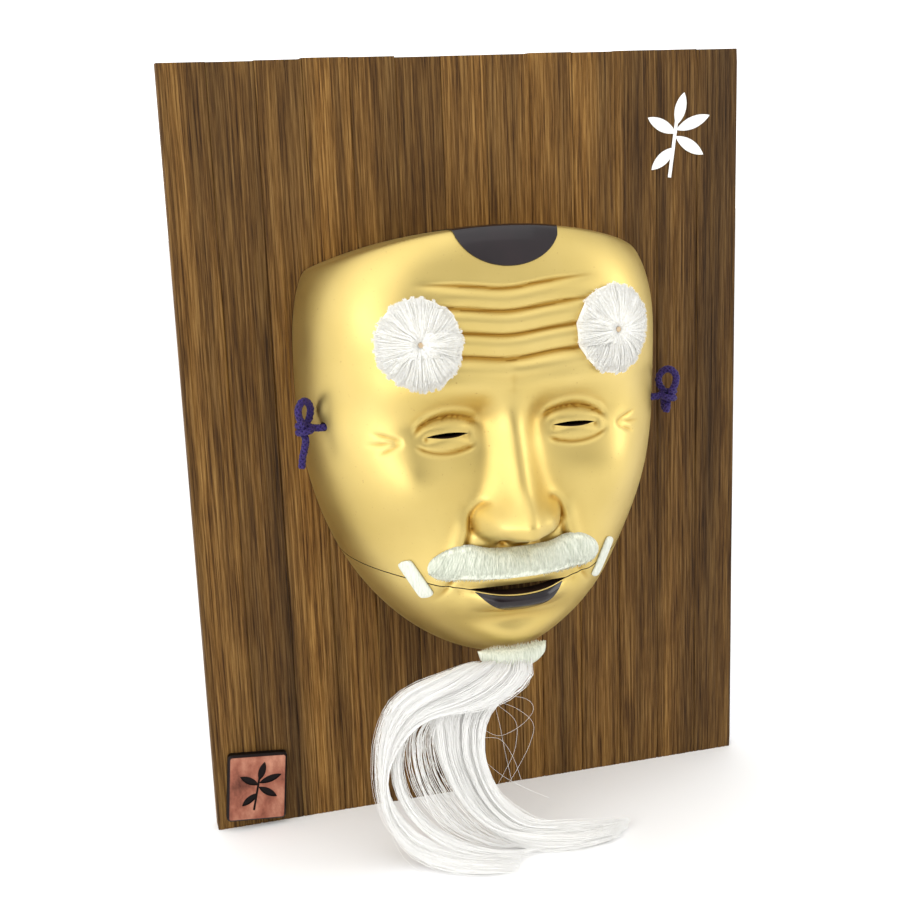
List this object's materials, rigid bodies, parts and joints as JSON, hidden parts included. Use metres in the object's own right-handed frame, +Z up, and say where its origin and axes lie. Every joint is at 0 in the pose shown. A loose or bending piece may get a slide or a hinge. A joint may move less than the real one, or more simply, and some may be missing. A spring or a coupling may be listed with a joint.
{
  "type": "noh mask",
  "caption": "Gold-finished noh mask with a hinged jaw, round white brow tufts, moustache and long beard, hung on an upright board of dark wooden staves with a wall hanger.",
  "frame": {"origin": "middle of the board's bottom face, half way through its thickness", "axes": "+X to the viewer's right, +Y back through the board towards the wall, +Z up"},
  "size_m": [0.28, 0.1067, 0.37],
  "materials": {
    "board_wood": "charred and wire-brushed",
    "batten_wood": "plain sawn",
    "zinc_steel": "zinc plated",
    "nail_steel": "dark steel",
    "copper_patina": "aged copper",
    "white_paint": "matt paint",
    "gold_leaf": "satin gold leaf over carved wood",
    "black_lacquer": "polished",
    "white_hair": "silky fibres",
    "ivory_fibre": "combed fibres",
    "peg_wood": "plain",
    "purple_cord": "braided",
    "tie_cord": "twisted"
  },
  "bodies": {
    "board": {"board_staves": "board_wood", "back_battens": "batten_wood", "batten_screws": "zinc_steel", "hanger_plate": "zinc_steel", "hanger_screws": "zinc_steel", "corner_plate": "copper_patina", "painted_sprig": "white_paint", "mask_nail": "nail_steel"},
    "hanger_ring": {"hanger_ring": "zinc_steel"},
    "mask": {"mask_upper": "gold_leaf", "lacquer_cap": "black_lacquer", "brow_tuft_left": "white_hair", "brow_tuft_right": "white_hair", "brow_peg_left": "peg_wood", "brow_peg_right": "peg_wood", "moustache": "ivory_fibre", "hanging_cord": "purple_cord", "jaw_ties": "tie_cord"},
    "jaw": {"mask_jaw": "gold_leaf", "lower_lip_lacquer": "black_lacquer", "chin_tuft": "ivory_fibre", "cheek_strip_left": "ivory_fibre", "cheek_strip_right": "ivory_fibre"},
    "beard_root": {"beard_binding": "tie_cord"},
    "beard": {"beard_hair": "white_hair"},
    "ear_cord_left": {"ear_cord_left": "purple_cord"},
    "ear_cord_right": {"ear_cord_right": "purple_cord"}
  },
  "joints": [
    {"name": "ring_swing", "type": "hinge", "parent": "board", "child": "hanger_ring", "pos_m": [0, 0.0089, 0.333], "axis": [1, 0, 0], "range_deg": [0, 150]},
    {"name": "mask_lift", "type": "slide", "parent": "board", "child": "mask", "axis": [0, -0.5, 0.866], "range_m": [0, 0.06]},
    {"name": "jaw_swing", "type": "hinge", "parent": "mask", "child": "jaw", "pos_m": [0, -0.0065, 0.1393], "axis": [1, 0, 0], "range_deg": [0, 8]},
    {"name": "beard_lift", "type": "hinge", "parent": "jaw", "child": "beard_root", "pos_m": [-0.003, -0.059, 0.0865], "axis": [-1, 0, 0], "range_deg": [0, 40]},
    {"name": "beard_swing", "type": "hinge", "parent": "beard_root", "child": "beard", "pos_m": [-0.003, -0.059, 0.0865], "axis": [0, 1, 0], "range_deg": [-15, 15]},
    {"name": "ear_cord_left_turn", "type": "hinge", "parent": "mask", "child": "ear_cord_left", "pos_m": [-0.09, -0.035, 0.207], "axis": [1, 0, 0], "range_deg": [-22, 22]},
    {"name": "ear_cord_right_turn", "type": "hinge", "parent": "mask", "child": "ear_cord_right", "pos_m": [0.09, -0.035, 0.207], "axis": [1, 0, 0], "range_deg": [-22, 22]}
  ]
}
